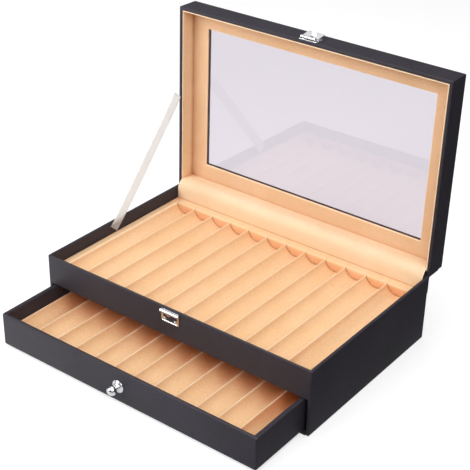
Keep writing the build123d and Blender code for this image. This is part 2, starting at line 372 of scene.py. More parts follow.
def rounded_rect(x0, x1, y0, y1, r, n=5):
    return arc(x1 - r, y0 + r, r, -90, 0, n) + arc(x1 - r, y1 - r, r, 0, 90, n) + \
        arc(x0 + r, y1 - r, r, 90, 180, n) + arc(x0 + r, y0 + r, r, 180, 270, n)


# ---------------------------------------------------------------- materials
class Mat:
    """Small helper round a node material."""

    def __init__(self, name):
        self.m = bpy.data.materials.new(name)
        self.m.use_nodes = True
        self.t = self.m.node_tree
        self.b = next(n for n in self.t.nodes if n.type == "BSDF_PRINCIPLED")
        self.co = self.t.nodes.new("ShaderNodeTexCoord")
        self.space = self.co.outputs["Object"]

    def node(self, kind, **kw):
        n = self.t.nodes.new("ShaderNode" + kind)
        for k, v in kw.items():
            setattr(n, k, v)
        return n

    def link(self, a, b):
        self.t.links.new(a, b)

    def scaled(self, sx, sy, sz):
        n = self.node("Mapping")
        n.inputs["Scale"].default_value = (sx, sy, sz)
        self.link(self.space, n.inputs["Vector"])
        return n.outputs["Vector"]

    def noise(self, scale, detail=3.0, rough=0.5, vec=None, distortion=0.0):
        n = self.node("TexNoise")
        n.inputs["Scale"].default_value = scale
        n.inputs["Detail"].default_value = detail
        n.inputs["Roughness"].default_value = rough
        n.inputs["Distortion"].default_value = distortion
        self.link(vec or self.space, n.inputs["Vector"])
        return n.outputs["Fac"]

    def ramp(self, fac, stops, colour=False):
        n = self.node("ValToRGB")
        e = n.color_ramp.elements
        while len(e) < len(stops):
            e.new(0.5)
        for el, (pos, c) in zip(e, stops):
            el.position = pos
            el.color = (*c, 1) if colour else (c, c, c, 1)
        self.link(fac, n.inputs["Fac"])
        return n.outputs["Color"]

    def mix(self, fac, a, b, mode="MIX"):
        n = self.node("Mix", data_type="RGBA", blend_type=mode)
        for sock, v in ((n.inputs[0], fac), (n.inputs[6], a), (n.inputs[7], b)):
            if isinstance(v, (int, float)):
                sock.default_value = v
            elif isinstance(v, tuple):
                sock.default_value = (*v, 1)
            else:
                self.link(v, sock)
        return n.outputs[2]

    def math(self, op, a, b):
        n = self.node("Math", operation=op)
        for sock, v in ((n.inputs[0], a), (n.inputs[1], b)):
            if isinstance(v, (int, float)):
                sock.default_value = v
            else:
                self.link(v, sock)
        return n.outputs[0]

    def bump(self, height, distance, strength=1.0, normal=None):
        n = self.node("Bump")
        n.inputs["Distance"].default_value = distance
        n.inputs["Strength"].default_value = strength
        self.link(height, n.inputs["Height"])
        if normal is not None:
            self.link(normal, n.inputs["Normal"])
        return n.outputs["Normal"]

    def set(self, **kw):
        for k, v in kw.items():
            self.b.inputs[k.replace("_", " ")].default_value = v


def leathercloth(name, dark, light, shift=0.0):
    """Black leathercloth: fine pebbled grain with creases, soft satin gloss, paler where it turns over an edge."""
    m = Mat(name)
    v = m.node("TexVoronoi", feature="DISTANCE_TO_EDGE")
    v.inputs["Scale"].default_value = 1050
    v.inputs["Randomness"].default_value = 1.0
    warp = m.node("TexNoise")
    warp.inputs["Scale"].default_value = 420
    warp.inputs["Detail"].default_value = 2
    m.link(m.space, warp.inputs["Vector"])
    add = m.node("VectorMath", operation="MULTIPLY_ADD")
    add.inputs[1].default_value = (0.0009, 0.0009, 0.0009)
    m.link(warp.outputs["Color"], add.inputs[0])
    m.link(m.space, add.inputs[2])
    m.link(add.outputs[0], v.inputs["Vector"])
    pebble = m.ramp(v.outputs["Distance"], [(0.0, 0.0), (0.22, 0.8), (0.6, 1.0)])
    fine = m.noise(3800, 2, 0.6)
    broad = m.noise(70, 4, 0.55)
    patch = m.noise(14 + shift, 3, 0.5)
    tone = m.mix(m.ramp(patch, [(0.3, 0.0), (0.72, 1.0)]), dark, light)
    tone = m.mix(m.math("MULTIPLY", m.ramp(broad, [(0.35, 0.0), (0.75, 1.0)]), 0.35), tone, tuple(c * 1.35 for c in light))
    tone = m.mix(0.55, tone, m.mix(pebble, tuple(c * 0.45 for c in dark), (1, 1, 1)), "MULTIPLY")
    geo = m.node("NewGeometry")
    edge = m.ramp(geo.outputs["Pointiness"], [(0.52, 0.0), (0.60, 1.0)])
    wear_and_painted_light = m.math("MULTIPLY", edge, m.ramp(m.noise(160, 4, 0.65), [(0.42, 0.12), (0.66, 1.0)]))
    tone = m.mix(m.math("MULTIPLY", wear_and_painted_light, 0.35), tone, (0.13, 0.12, 0.13))
    m.link(tone, m.b.inputs["Base Color"])
    rough = m.math("ADD", m.math("MULTIPLY", broad, 0.16), m.math("MULTIPLY", fine, 0.10))
    m.link(m.math("ADD", rough, 0.40), m.b.inputs["Roughness"])
    n1 = m.bump(broad, 0.0004, 0.35)
    n2 = m.bump(pebble, 0.00011, 0.75, n1)
    m.link(m.bump(fine, 0.00003, 0.5, n2), m.b.inputs["Normal"])
    m.set(Specular_IOR_Level=0.36)
    return m.m


def suede(name, pale, mid, deep, grain=1.0, reach=0.055, shade_depth=1.0):
    """Short-napped suede cloth: brushed patches and tiny fibres, with a painted highlight on crests and painted shade,
    deep brown, in folds, seams and recesses.
    """
    m = Mat(name)
    fibre = m.noise(5200, 3, 0.7)
    nap = m.noise(900, 4, 0.62, vec=m.scaled(1, 0.35, 1))
    brush = m.noise(34, 4, 0.6, vec=m.scaled(1, 0.45, 1), distortion=0.6)
    patch = m.noise(9, 3, 0.5)
    tone = m.mix(m.ramp(brush, [(0.30, 0.0), (0.70, 1.0)]), mid, pale)
    tone = m.mix(m.math("MULTIPLY", m.ramp(patch, [(0.42, 0.0), (0.78, 1.0)]), 0.38), tone, deep)
    tone = m.mix(0.30, tone, m.ramp(nap, [(0.28, 0.62), (0.60, 1.0)]), "MULTIPLY")
    tone = m.mix(0.22, tone, m.ramp(fibre, [(0.30, 0.55), (0.62, 1.0)]), "MULTIPLY")
    # painted shade: where an ambient-occlusion test finds the cloth closed in (creases, corners, under overhangs) it is
    # turned deep brown
    ao = m.node("AmbientOcclusion", samples=6)
    ao.inputs["Distance"].default_value = reach
    ao_painted_shade = m.ramp(ao.outputs["AO"], [(0.08, 1.0), (0.30, 0.60), (0.50, 0.0)])
    tone = m.mix(m.math("MULTIPLY", ao_painted_shade, shade_depth), tone, m.mix(1.0, tone, (0.80, 0.30, 0.13), "MULTIPLY"))
    # painted highlight on crests and painted shade in seams, read from the mesh attribute and broken up by noise
    at = m.node("Attribute", attribute_name="painted_light")
    crest = m.math("MAXIMUM", at.outputs["Fac"], 0.0)
    seam = m.math("MAXIMUM", m.math("MULTIPLY", at.outputs["Fac"], -1.0), 0.0)
    patchy_mask = m.ramp(m.noise(260, 3, 0.6), [(0.25, 0.6), (0.6, 1.0)])
    tone = m.mix(m.math("MULTIPLY", m.math("MULTIPLY", crest, patchy_mask), 0.85), tone, (1.0, 0.80, 0.57))
    tone = m.mix(m.math("MULTIPLY", m.math("MULTIPLY", seam, patchy_mask), 0.8), tone, (0.33, 0.135, 0.045))
    m.link(tone, m.b.inputs["Base Color"])
    m.link(m.math("ADD", m.math("MULTIPLY", nap, 0.16), 0.82), m.b.inputs["Roughness"])
    n1 = m.bump(nap, 0.00022 * grain, 0.5)
    m.link(m.bump(fibre, 0.00009 * grain, 0.6, n1), m.b.inputs["Normal"])
    m.set(Specular_IOR_Level=0.2, Sheen_Weight=0.25, Sheen_Roughness=0.45, Sheen_Tint=(1.0, 0.86, 0.70, 1))
    return m.m


def plated(name, tint=(0.80, 0.80, 0.82), base=0.035):
    """Bright nickel-chrome plating with polishing lines, faint pits and dulled patches."""
    m = Mat(name)
    haze = m.noise(330, 4, 0.6)
    lines = m.noise(1500, 2, 0.7, vec=m.scaled(0.12, 1, 1))
    pits = m.noise(4200, 2, 0.5)
    m.link(m.mix(m.ramp(haze, [(0.35, 0.0), (0.75, 1.0)]), tuple(c * 0.9 for c in tint), tint), m.b.inputs["Base Color"])
    r = m.math("ADD", m.math("MULTIPLY", m.ramp(haze, [(0.4, 0.0), (0.8, 1.0)]), 0.09), base)
    m.link(m.math("ADD", r, m.math("MULTIPLY", lines, 0.05)), m.b.inputs["Roughness"])
    n1 = m.bump(lines, 0.00002, 0.25)
    m.link(m.bump(pits, 0.00001, 0.25, n1), m.b.inputs["Normal"])
    m.set(Metallic=1.0)
    return m.m


def pane_glass(name):
    """Clear pane, faintly grey, with the slightest waviness and a few dust specks."""
    m = Mat(name)
    wave = m.noise(22, 2, 0.4)
    dust = m.noise(1900, 2, 0.5)
    m.link(m.mix(m.ramp(dust, [(0.70, 0.0), (0.80, 1.0)]), (0.70, 0.652, 0.71), (0.66, 0.63, 0.67)), m.b.inputs["Base Color"])
    m.link(m.math("ADD", m.math("MULTIPLY", m.ramp(dust, [(0.66, 0.0), (0.8, 1.0)]), 0.10), 0.005), m.b.inputs["Roughness"])
    m.link(m.bump(wave, 0.0002, 0.05), m.b.inputs["Normal"])
    m.set(Transmission_Weight=1.0, IOR=1.5)
    # light goes straight through to what lies under the pane
    through = m.node("BsdfTransparent")
    through.inputs["Color"].default_value = (0.90, 0.89, 0.91, 1)
    path = m.node("LightPath")
    pick = m.node("MixShader")
    m.link(path.outputs["Is Shadow Ray"], pick.inputs[0])
    m.link(m.b.outputs[0], pick.inputs[1])
    m.link(through.outputs[0], pick.inputs[2])
    m.link(pick.outputs[0], next(n for n in m.t.nodes if n.type == "OUTPUT_MATERIAL").inputs["Surface"])
    return m.m


def ribbon_cloth(name):
    """White satin ribbon: fine crosswise ribs, a bound edge on both sides, soft sheen. Runs on the UV map."""
    m = Mat(name)
    m.space = m.co.outputs["UV"]
    sep = m.node("SeparateXYZ")
    m.link(m.space, sep.inputs[0])
    ribs = m.node("TexWave", wave_type="BANDS", bands_direction="X", wave_profile="SIN")
    ribs.inputs["Scale"].default_value = 0.62
    ribs.inputs["Distortion"].default_value = 0.35
    m.link(m.space, ribs.inputs["Vector"])
    warp = m.node("TexWave", wave_type="BANDS", bands_direction="Y", wave_profile="SIN")
    warp.inputs["Scale"].default_value = 1.3
    warp.inputs["Distortion"].default_value = 0.2
    m.link(m.space, warp.inputs["Vector"])
    soft = m.noise(0.12, 3, 0.5)
    tone = m.mix(m.ramp(soft, [(0.3, 0.0), (0.75, 1.0)]), (0.975, 0.975, 0.97), (1.0, 1.0, 0.995))
    tone = m.mix(0.25, tone, m.ramp(ribs.outputs["Fac"], [(0.1, 0.88), (0.7, 1.0)]), "MULTIPLY")
    m.link(tone, m.b.inputs["Base Color"])
    m.link(m.math("ADD", m.math("MULTIPLY", ribs.outputs["Fac"], 0.12), 0.42), m.b.inputs["Roughness"])
    n1 = m.bump(ribs.outputs["Fac"], 0.00012, 0.6)
    m.link(m.bump(warp.outputs["Fac"], 0.00005, 0.4, n1), m.b.inputs["Normal"])
    m.set(Sheen_Weight=0.3, Sheen_Roughness=0.3, Anisotropic=0.4, Specular_IOR_Level=0.5)
    thin = m.node("BsdfTranslucent")
    m.link(tone, thin.inputs["Color"])
    both = m.node("MixShader")
    both.inputs[0].default_value = 0.72
    m.link(m.b.outputs[0], both.inputs[1])
    m.link(thin.outputs[0], both.inputs[2])
    m.link(both.outputs[0], next(n for n in m.t.nodes if n.type == "OUTPUT_MATERIAL").inputs["Surface"])
    return m.m


def covered_board(name):
    """Fibreboard under black paper: matt, with paper fibres and pressed specks."""
    m = Mat(name)
    fibre = m.noise(1400, 4, 0.7, vec=m.scaled(0.25, 1, 1))
    speck = m.noise(520, 3, 0.6)
    broad = m.noise(16, 3, 0.5)
    tone = m.mix(m.ramp(broad, [(0.3, 0.0), (0.7, 1.0)]), (0.020, 0.018, 0.020), (0.034, 0.031, 0.034))
    tone = m.mix(m.math("MULTIPLY", m.ramp(speck, [(0.62, 0.0), (0.75, 1.0)]), 0.4), tone, (0.075, 0.07, 0.072))
    tone = m.mix(0.4, tone, m.ramp(fibre, [(0.3, 0.55), (0.65, 1.0)]), "MULTIPLY")
    m.link(tone, m.b.inputs["Base Color"])
    m.link(m.math("ADD", m.math("MULTIPLY", fibre, 0.2), 0.66), m.b.inputs["Roughness"])
    m.link(m.bump(fibre, 0.00008, 0.5), m.b.inputs["Normal"])
    m.set(Specular_IOR_Level=0.35)
    return m.m


LEATHER = leathercloth("leathercloth_black", (0.0285, 0.0245, 0.034), (0.046, 0.040, 0.055))
SUEDE = suede("suede_peach", (0.92, 0.635, 0.385), (0.88, 0.58, 0.32), (0.81, 0.49, 0.238))
# painted light and shade: the lid linings and the hinge lining get paler copies of the same peach suede, the window
# frame a darker one, each with weaker painted crease shade
SUEDE_LID = suede("suede_peach_lid", (0.93, 0.665, 0.43), (0.89, 0.605, 0.37), (0.84, 0.54, 0.30), reach=0.022, shade_depth=0.75)
SUEDE_FRAME = suede("suede_peach_frame", (0.86, 0.575, 0.36), (0.81, 0.52, 0.305), (0.76, 0.455, 0.245), reach=0.012, shade_depth=0.9)
SUEDE_HINGE = suede("suede_peach_hinge", (0.94, 0.70, 0.475), (0.90, 0.65, 0.415), (0.855, 0.585, 0.35), reach=0.012, shade_depth=0.6)
CHROME = plated("bright_plating")
STEEL = plated("zinc_plating", (0.62, 0.63, 0.66), 0.22)
GLASS = pane_glass("clear_pane")
RIBBON = ribbon_cloth("satin_ribbon")
BOARD = covered_board("paper_covered_board")

# ------------------------------------------------------------------- camera
AZ, EL, ROLL = math.radians(36.23), math.radians(30.01), math.radians(1.49)
back = Vector((math.sin(AZ) * math.cos(EL), -math.cos(AZ) * math.cos(EL), math.sin(EL)))
right = (-back).cross(Vector((0, 0, 1))).normalized()
up = right.cross(-back).normalized()
cx = math.cos(ROLL) * right + math.sin(ROLL) * up
cy = -math.sin(ROLL) * right + math.cos(ROLL) * up
cam_data = bpy.data.cameras.new("camera")
cam = bpy.data.objects.new("camera", cam_data)
scene.collection.objects.link(cam)
cam.matrix_world = Matrix(((cx.x, cy.x, back.x, 0.65077), (cx.y, cy.y, back.y, -0.87397),
                           (cx.z, cy.z, back.z, 0.72267), (0, 0, 0, 1)))
cam_data.sensor_width = 36.0
cam_data.lens = 1203.27 * 36.0 / 470.0
cam_data.shift_x = (235.0 - 245.17) / 470.0
cam_data.shift_y = (251.3 - 235.0) / 470.0
cam_data.clip_start, cam_data.clip_end = 0.02, 30.0
scene.camera = cam

# ------------------------------------------------------------ chest, covered
chest = cut_shell("chest_case", (-W / 2, W / 2, YF, YB, 0, HC),
                  [(-XI, XI, YF + TF, BACK_Y, -5, HC + 5), (-XI, XI, YF - 5, YF + TF + 1, -5, FASCIA_Z0)],
                  1.5, 5, LEATHER)
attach(chest, "chest")
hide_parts("left_wall", "right_wall", "back_wall", "front_fascia")

lid_case = cut_shell("lid_case", (-W / 2, W / 2, YF, YB, LZ0, LZ1),
                     [(-XI, XI, YF + T, BACK_Y, LZ0 - 5, WB0),
                      (-WIN_X, WIN_X, YF + WIN_M, YB - WIN_M, WB0 - 5, LZ1 + 5)],
                     1.3, 5, LEATHER, TO_OPEN)
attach(lid_case, "lid")
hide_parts("lid_front_wall", "lid_left_wall", "lid_right_wall", "lid_back_wall", "lid_window_board")

drawer = cut_shell("drawer_case", (DR_X0, DR_X1, DY0, DY1, DR_H0, DR_H1),
                   [(DR_X0 + DR_TS, DR_X1 - DR_TS, DY0 + DR_T, DY1 - DR_TB, -5, DR_H1 + 5)],
                   1.7, 5, LEATHER)
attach(drawer, "drawer")
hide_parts("drawer_front", "drawer_left_side", "drawer_right_side", "drawer_back")

# -------------------------------------------------------- grooved inserts
HALF = (PITCH - 0.8) / 2
G_E = (HALF ** 2 - DEPTH ** 2) / (2 * DEPTH)
G_R = DEPTH + G_E


def groove_section(x_left, x_right, x_mid):
    """(x, depth) across an insert: flat margins, twelve round grooves, rounded ridges, turned-down sides."""
    pts = [(x_left + 0.25, 9.0), (x_left + 0.25, 4.0), (x_left + 0.25, 1.3)]
    pts += [(x_left + 0.25 + 1.0 - math.cos(math.radians(a)), 1.0 - math.sin(math.radians(a))) for a in (30, 50, 70, 90)]
    first = x_mid - SPAN / 2
    x = x_left + 1.9
    while x < first - 0.9:
        pts.append((x, 0.0))
        x += 1.6
    for k in range(N_GROOVE):
        xc = first + PITCH * (k + 0.5)
        for a in (-75, -50, -25, 0) if k else (-25, 0):
            # this loop adds no points; the ridge crests are added after each groove
            pass
        if k == 0:
            for a in (15, 40, 65):
                pts.append((xc - PITCH / 2 + 0.5 * math.sin(math.radians(a)) - 0.1, 0.55 * (1 - math.cos(math.radians(a)))))
        lim = math.degrees(math.acos((G_E + 0.75) / G_R))
        n = 22
        for i in range(n + 1):
            a = math.radians(-lim + 2 * lim * i / n)
            pts.append((xc + G_R * math.sin(a), G_R * math.cos(a) - G_E))
        if k < N_GROOVE - 1:
            for a in (-70, -45, -20, 0, 20, 45, 70):
                pts.append((xc + PITCH / 2 + 0.52 * math.sin(math.radians(a)), 0.55 * (1 - math.cos(math.radians(a)))))
        else:
            for a in (65, 40, 15):
                pts.append((xc + PITCH / 2 - 0.5 * math.sin(math.radians(a)) + 0.1, 0.55 * (1 - math.cos(math.radians(a)))))
    last = first + SPAN
    x = last + 0.9
    while x < x_right - 1.9:
        pts.append((x, 0.0))
        x += 1.6
    pts += [(x_right - 0.25 - 1.0 + math.cos(math.radians(a)), 1.0 - math.sin(math.radians(a))) for a in (90, 70, 50, 30)]
    pts += [(x_right - 0.25, 1.3), (x_right - 0.25, 4.0), (x_right - 0.25, 9.0)]
    pts.sort(key=lambda p: p[0]) if False else None
    clean = [pts[0]]
    for p in pts[1:]:
        if p[0] > clean[-1][0] + 1e-4 or abs(p[1] - clean[-1][1]) > 0.2:
            clean.append((max(p[0], clean[-1][0]), p[1]))
    return clean


def end_rows(y_out, y_end, sign):
    """Rows (y, cap on the groove depth, turned-down depth) from an insert's outer edge to past its groove ends."""
    rows = [(y_out, 0, 9.0), (y_out, 0, 4.0), (y_out, 0, 1.3)]
    rows += [(y_out + sign * (1 - math.cos(math.radians(a))), 0, 1 - math.sin(math.radians(a))) for a in (30, 50, 70, 90)]
    y = y_out + sign * 2.2
    while sign * (y_end - sign * 1.2 - y) > 0:
        rows.append((y, 0, 0))
        y += sign * 2.0
    for back_off, cap in ((0.9, 0.0), (0.65, 0.05), (0.42, 0.16), (0.22, 0.36), (0.08, 0.62), (0.0, 1.0), (-0.05, 3.2),
                          (-0.10, 5.8), (-0.15, 8.4), (-0.22, 10.6), (-0.45, 12.0)):
        rows.append((y_end - sign * back_off, cap, 0))
    return rows


def insert(name, x_left, x_right, x_mid, y0, y1, g0, g1, z_top, z_bot, mat, seed):
    """A moulded insert covered with suede: one closed mesh."""
    sec = groove_section(x_left, x_right, x_mid)
    rows = end_rows(y0, g0, 1)
    n = int((g1 - g0 - 2) / 4.5)
    rows += [(g0 + 1 + (g1 - g0 - 2) * i / n, 99, 0) for i in range(n + 1)]
    rows += end_rows(y1, g1, -1)[::-1]
    verts, wear_and_painted_light = [], []
    for y, cap, turn in rows:
        for x, d in sec:
            edge_x = min(x - x_left, x_right - x)
            side = d if edge_x < 1.3 else 0.0
            groove = 0.0 if edge_x < 1.3 else min(d, cap)
            drop = max(side, turn, groove)
            wob = 0.10 * noise.noise(Vector((x * 0.045, y * 0.028, seed))) + 0.035 * noise.noise(Vector((x * 0.3, y * 0.22, seed + 4)))
            lift = 0.0 if drop > 1.2 and (side or turn) else wob
            # the crest line of a ridge wanders a little, as cloth pulled over a thin edge does
            wave = 0.10 * noise.noise(Vector((round((x - x_mid) / PITCH) * 3.1, y * 0.05, seed + 9))) if cap > 50 else 0.0
            verts.append((x + wave, y, z_top - drop + lift))
            inside = x_mid - SPAN / 2 - 0.6 < x < x_mid + SPAN / 2 + 0.6
            # painted light: a painted highlight on the ridge crests and, faintly, on the flat strip past the groove
            # ends; painted shade down the turned-down sides and along the crease where each groove meets its end wall
            if turn or edge_x < 1.3:
                wear_and_painted_light.append(-0.6 if drop > 1.2 else 0.0)
            elif cap > 50:
                wear_and_painted_light.append(1.0 if inside and d < 0.3 else (0.35 if inside and d < 0.9 else 0.0))
            elif inside and d > 0.7 and cap >= d - 0.4:
                wear_and_painted_light.append(-1.0)
            elif inside and d > 0.9 and cap < 0.4:
                wear_and_painted_light.append(0.12)
            else:
                wear_and_painted_light.append(0.0)
    nu, nv = len(rows), len(sec)
    faces = grid_faces(nu, nv)
    base = len(verts)
    # underside: the same outline, flat, a little above its board
    ring = [j for j in range(nv)] + [i * nv + nv - 1 for i in range(1, nu)] + [(nu - 1) * nv + j for j in range(nv - 2, -1, -1)] + \
        [i * nv for i in range(nu - 2, 0, -1)]
    for i in ring:
        x, y, z = verts[i]
        verts.append((x, y, z_bot))
        wear_and_painted_light.append(0.0)
    m = len(ring)
    faces += [(ring[i], ring[(i + 1) % m], base + (i + 1) % m, base + i) for i in range(m)]
    faces.append([base + i for i in range(m)])
    return new_object(name, verts, faces, mat, painted_light=wear_and_painted_light)


tray = insert("tray_insert", -XI, XI, 0.0, YF + TF + 0.2, BACK_Y - 0.2, TY0, TY1, TRAY_Z, 45.0, SUEDE, 1.7)
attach(tray, "chest")
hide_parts("tray_ridge_rails", "tray_left_rail", "tray_right_rail", "tray_front_end", "tray_back_end")

dtray = insert("drawer_insert", DR_X0 + DR_TS, DR_X1 - DR_TS, DXC, DY0 + DR_T + 0.2, DY1 - DR_TB - 0.2,
               DY0 + DR_T + 8, DY1 - DR_TB - 8, DR_Z, 5.0, SUEDE, 8.3)
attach(dtray, "drawer")
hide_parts("drawer_ridge_rails", "drawer_left_rail", "drawer_right_rail", "drawer_front_end", "drawer_back_end")

# ------------------------------------------------- lining over the hinge line
LINING = [(101.75, 60.6), (101.6, 62.2), (101.45, 64.5), (101.35, 67.5), (101.4, 70.5), (101.6, 73.0), (102.1, 75.4), (102.9, 77.6),
          (104.1, 79.7), (105.7, 81.5), (107.7, 82.9), (110.1, 83.7), (112.8, 84.0), (115.8, 83.85), (119.0, 83.4), (122.2, 82.8),
          (125.2, 82.3), (127.6, 82.0), (128.25, 82.3)]


def smooth_path(pts, n):
    """Evenly spaced points along a Catmull-Rom line."""
    p = np.array([pts[0]] + list(pts) + [pts[-1]], float)
    fine = []
    for i in range(1, len(p) - 2):
        for t in np.linspace(0, 1, 12, endpoint=False):
            a, b, c, d = p[i - 1], p[i], p[i + 1], p[i + 2]
            fine.append(0.5 * ((2 * b) + (-a + c) * t + (2 * a - 5 * b + 4 * c - d) * t * t + (-a + 3 * b - 3 * c + d) * t ** 3))
    fine.append(p[-2])
    fine = np.array(fine)
    s = np.concatenate([[0], np.cumsum(np.linalg.norm(np.diff(fine, axis=0), axis=1))])
    out = [tuple(np.interp(v, s, fine[:, j]) for j in range(fine.shape[1])) for v in np.linspace(0, s[-1], n)]
    return out, float(s[-1])


lp, lining_len = smooth_path(LINING, 44)
LW = 165.3
lx = [-LW, -LW + 0.45, -LW + 1.3] + [-LW + 2.6 + 2 * (LW - 2.6) * i / 116 for i in range(117)] + [LW - 1.3, LW - 0.45, LW]
verts, wear_and_painted_light = [], []
for i, (y, z) in enumerate(lp):
    t = i / (len(lp) - 1)
    half = 1.0 - (0.75 / LW) * min(1.0, max(0.0, (t - 0.45) / 0.3))
    ya, za = lp[max(i - 1, 0)]
    yb, zb = lp[min(i + 1, len(lp) - 1)]
    ln = math.hypot(yb - ya, zb - za)
    ny, nz = -(zb - za) / ln, (yb - ya) / ln
    for x in lx:
        end = max(0.0, 1 - (LW - abs(x)) / 5.0)
        soft = 0.28 * noise.noise(Vector((x * 0.016, t * 2.2, 3.0))) + 0.10 * noise.noise(Vector((x * 0.06, t * 6.0, 7.0)))
        soft += 0.10 * math.sin(t * 21 + 1.3 * noise.noise(Vector((x * 0.02, 0, 1)))) * math.exp(-((t - 0.42) / 0.16) ** 2)
        soft -= 0.45 * end ** 2.2
        soft *= min(1.0, t * 9, (1 - t) * 9)
        verts.append((x * half, y + ny * soft, z + nz * soft))
        # painted highlight at both ends, painted shade along the top and bottom creases
        wear_and_painted_light.append(1.0 if abs(x) > LW - 0.5 else (-0.9 if t > 0.985 or t < 0.04 else 0.0))
lining = new_object("hinge_lining", verts, grid_faces(len(lp), len(lx)), SUEDE_HINGE, fix=False, painted_light=wear_and_painted_light)
sol = lining.modifiers.new("cloth_and_pad", "SOLIDIFY")
sol.thickness, sol.offset = 1.1 * MM, -1.0
bev = lining.modifiers.new("edges", "BEVEL")
bev.width, bev.segments, bev.limit_method, bev.angle_limit = 0.35 * MM, 2, "ANGLE", math.radians(50)
bake_modifiers(lining)
lining.data.shade_smooth()
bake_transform(lining)
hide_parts("hinge_lining_chest", "hinge_lining_lid")

# ---------------------------------------------------------------- lid lining
O = 4.15   # outer edge of the liner frame, from the lid's outside


def frame_loop(d, z, rc):
    return rect_loop(-W / 2 + d, W / 2 - d, YF + d, YB - d, z, rc, 60, 40)


loops = [frame_loop(O, WB0 - 0.1, 0.2), frame_loop(O, FR0 + 0.5, 0.2), frame_loop(O + 0.15, FR0 + 0.15, 0.2), frame_loop(O + 0.5, FR0, 0.2)]
for d in (8, 12, 16, 20, 23):
    loops.append(frame_loop(d, FR0 - 0.12 * math.sin(math.pi * (d - 4) / 21), 0.2))
r_in = 1.0
for a in (0, 18, 36, 54, 72, 90):
    loops.append(frame_loop(WIN_M - r_in + r_in * math.sin(math.radians(a)) - 0.0, FR0 + r_in * (1 - math.cos(math.radians(a))),
                            0.9 - 0.5 * a / 90))
loops += [frame_loop(WIN_M, FR0 + 1.6, 0.4), frame_loop(WIN_M, WB0 - GLASS_T - 0.05, 0.4), frame_loop(WIN_M - 0.5, WB0 - GLASS_T - 0.02, 0.4),
          frame_loop(WIN_M - 8.4, WB0 - GLASS_T - 0.02, 0.3), frame_loop(WIN_M - 8.4, WB0 - 0.1, 0.3)]
# painted shade along the outer edge against the lid walls and down the reveal to the glass, painted highlight on the
# rounded window edge
painted_light = [-0.6, -0.6, -0.5, 0.0] + [0.0] * 5 + [0.0, 0.4, 1.0, 1.0, 0.8, 0.3] + [0.0, -0.8, -0.8, 0.0, 0.0]
lid_frame = ring_sweep("lid_window_lining", loops, SUEDE_FRAME, None, painted_light=painted_light)
co = lid_frame.data.vertices
for v in co:
    if abs(v.co.z / MM - FR0) < 0.3:
        v.co.z += 0.09 * MM * noise.noise(Vector((v.co.x * 40, v.co.y * 40, 2.0)))
lid_frame.data.transform(TO_OPEN)
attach(weighted(lid_frame), "lid")
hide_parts("lid_liner_frame")

for nm, b, seed in (("lid_left_lining", (-XI + 0.35, -XI + 1.25, YF + T, BACK_Y - 1.0, LZ0 + 0.35, FR0), 1.0),
                    ("lid_right_lining", (XI - 1.25, XI - 0.1, YF + T, BACK_Y - 1.0, LZ0 + 0.35, FR0), 2.0),
                    ("lid_front_lining", (-XI + 1.2, XI - 1.2, YF + T + 0.1, YF + T + 1.25, LZ0 + 0.35, FR0), 3.0)):
    # painted highlight along the linings' rim edges, painted shade where they meet the window frame
    o = soft_block(nm, *b, 0.45, 5.0, SUEDE_LID, TO_OPEN, 0.14, seed, lambda p, d: 1.0 if d.z < -0.2 and p[2] < LZ0 + 1 else
                   (-0.7 if p[2] > FR0 - 1 else 0.0))
    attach(weighted(o), "lid")
    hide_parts({"lid_left_lining": "lid_left_liner", "lid_right_lining": "lid_right_liner", "lid_front_lining": "lid_front_liner"}[nm])

# --------------------------------------------------------------------- glass
pane = soft_block("window_pane", -WIN_X - 8, WIN_X + 8, YF + WIN_M - 8, YB - WIN_M + 8, WB0 - GLASS_T + 0.02, WB0 - 0.02, 0.25, 30.0,
                  GLASS, TO_OPEN)
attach(weighted(pane), "lid")
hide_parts("glass_pane")

# -------------------------------------------------------------------- ribbon
R_LO, R_HI = Vector((YF + 98.4, 66.4)), Vector((YB - 5.6, HC + 116.6))
rd = (R_HI - R_LO)
RLEN = rd.length
rd.normalize()
rn = Vector((-rd.y, rd.x))
verts, uvs = [], []
NR, NW = 90, 13
for i in range(NR + 1):
    t = i / NR
    tuck_lo, tuck_hi = math.exp(-t * 16), math.exp(-(1 - t) * 15)
    xc = -164.5 - 1.15 * tuck_lo - 1.2 * tuck_hi + 0.25 * math.sin(t * math.pi)
    for j in range(NW + 1):
        s = (j / NW - 0.5) * 13.0
        # hems curl a touch, and the band cups between its two held ends
        x = xc + 0.10 * (abs(s) / 6.5) ** 4 + 0.10 * math.sin(t * 9.0 + s * 0.2) * (1 - tuck_lo - tuck_hi)
        p = R_LO + rd * (t * RLEN) + rn * s
        verts.append((x, p.x, p.y))
        uvs.append((t * RLEN, s))
ribbon = new_object("ribbon", verts, grid_faces(NR + 1, NW + 1), RIBBON, fix=False)
uvl = ribbon.data.uv_layers.new(name="UVMap")
for poly in ribbon.data.polygons:
    for li in poly.loop_indices:
        uvl.data[li].uv = uvs[ribbon.data.loops[li].vertex_index]
sol = ribbon.modifiers.new("cloth", "SOLIDIFY")
sol.thickness, sol.offset = 0.35 * MM, 0
bake_modifiers(ribbon)
ribbon.data.shade_smooth()
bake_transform(ribbon)
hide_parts("ribbon_stay")

